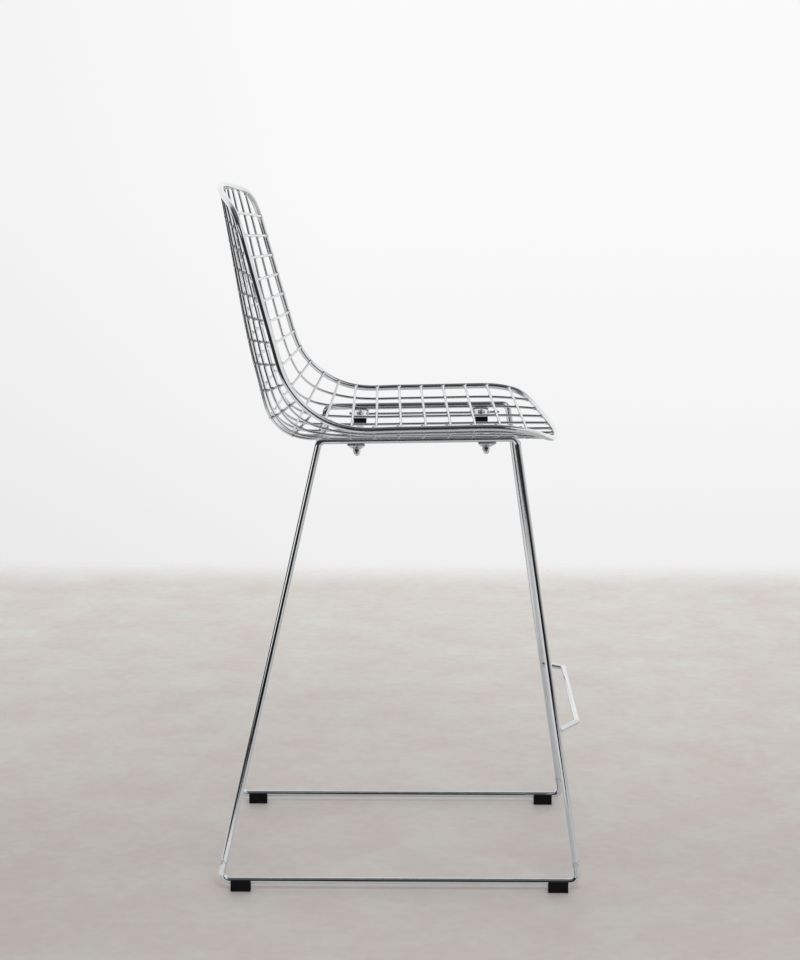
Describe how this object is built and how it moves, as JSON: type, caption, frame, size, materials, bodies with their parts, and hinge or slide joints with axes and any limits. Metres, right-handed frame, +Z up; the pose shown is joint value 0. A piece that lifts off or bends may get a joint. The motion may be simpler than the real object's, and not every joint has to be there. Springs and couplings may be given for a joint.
{
  "type": "bar stool",
  "caption": "Bar stool with a wire-mesh bucket seat and back in one shell, bolted to leaning sled loops with a front footrest bar.",
  "frame": {"origin": "on the floor, under the middle of the stool", "axes": "+Z up, the sitter faces -Y, X across the seat with the mirror plane at X = 0"},
  "size_m": [0.481, 0.5428, 1.0272],
  "materials": {
    "chromed_steel": "polished",
    "black_plastic": "satin"
  },
  "bodies": {
    "root": {"bracket_front_left": "chromed_steel", "bracket_front_right": "chromed_steel", "bracket_rear_left": "chromed_steel", "bracket_rear_right": "chromed_steel", "cap_nuts": "chromed_steel", "cross_wire_01": "chromed_steel", "cross_wire_02": "chromed_steel", "cross_wire_03": "chromed_steel", "cross_wire_04": "chromed_steel", "cross_wire_05": "chromed_steel", "cross_wire_06": "chromed_steel", "cross_wire_07": "chromed_steel", "cross_wire_08": "chromed_steel", "cross_wire_09": "chromed_steel", "cross_wire_10": "chromed_steel", "cross_wire_11": "chromed_steel", "cross_wire_12": "chromed_steel", "cross_wire_13": "chromed_steel", "cross_wire_14": "chromed_steel", "cross_wire_15": "chromed_steel", "cross_wire_16": "chromed_steel", "cross_wire_17": "chromed_steel", "cross_wire_18": "chromed_steel", "cross_wire_19": "chromed_steel", "fixing_bolts": "chromed_steel", "fixing_plate_front_left": "chromed_steel", "fixing_plate_front_right": "chromed_steel", "fixing_plate_rear_left": "chromed_steel", "fixing_plate_rear_right": "chromed_steel", "footrest": "chromed_steel", "glide_front_left": "black_plastic", "glide_front_right": "black_plastic", "glide_rear_left": "black_plastic", "glide_rear_right": "black_plastic", "long_wire_01": "chromed_steel", "long_wire_02": "chromed_steel", "long_wire_03": "chromed_steel", "long_wire_04": "chromed_steel", "long_wire_05": "chromed_steel", "long_wire_06": "chromed_steel", "long_wire_07": "chromed_steel", "long_wire_08": "chromed_steel", "long_wire_09": "chromed_steel", "long_wire_10": "chromed_steel", "long_wire_11": "chromed_steel", "rim_rod": "chromed_steel", "seat_rail_front_left": "chromed_steel", "seat_rail_front_right": "chromed_steel", "seat_rail_middle_left": "chromed_steel", "seat_rail_middle_right": "chromed_steel", "seat_rail_rear_left": "chromed_steel", "seat_rail_rear_right": "chromed_steel", "sled_loop_left": "chromed_steel", "sled_loop_right": "chromed_steel", "spacer_block_front_left": "black_plastic", "spacer_block_front_right": "black_plastic", "spacer_block_rear_left": "black_plastic", "spacer_block_rear_right": "black_plastic", "washers": "chromed_steel"}
  },
  "joints": []
}
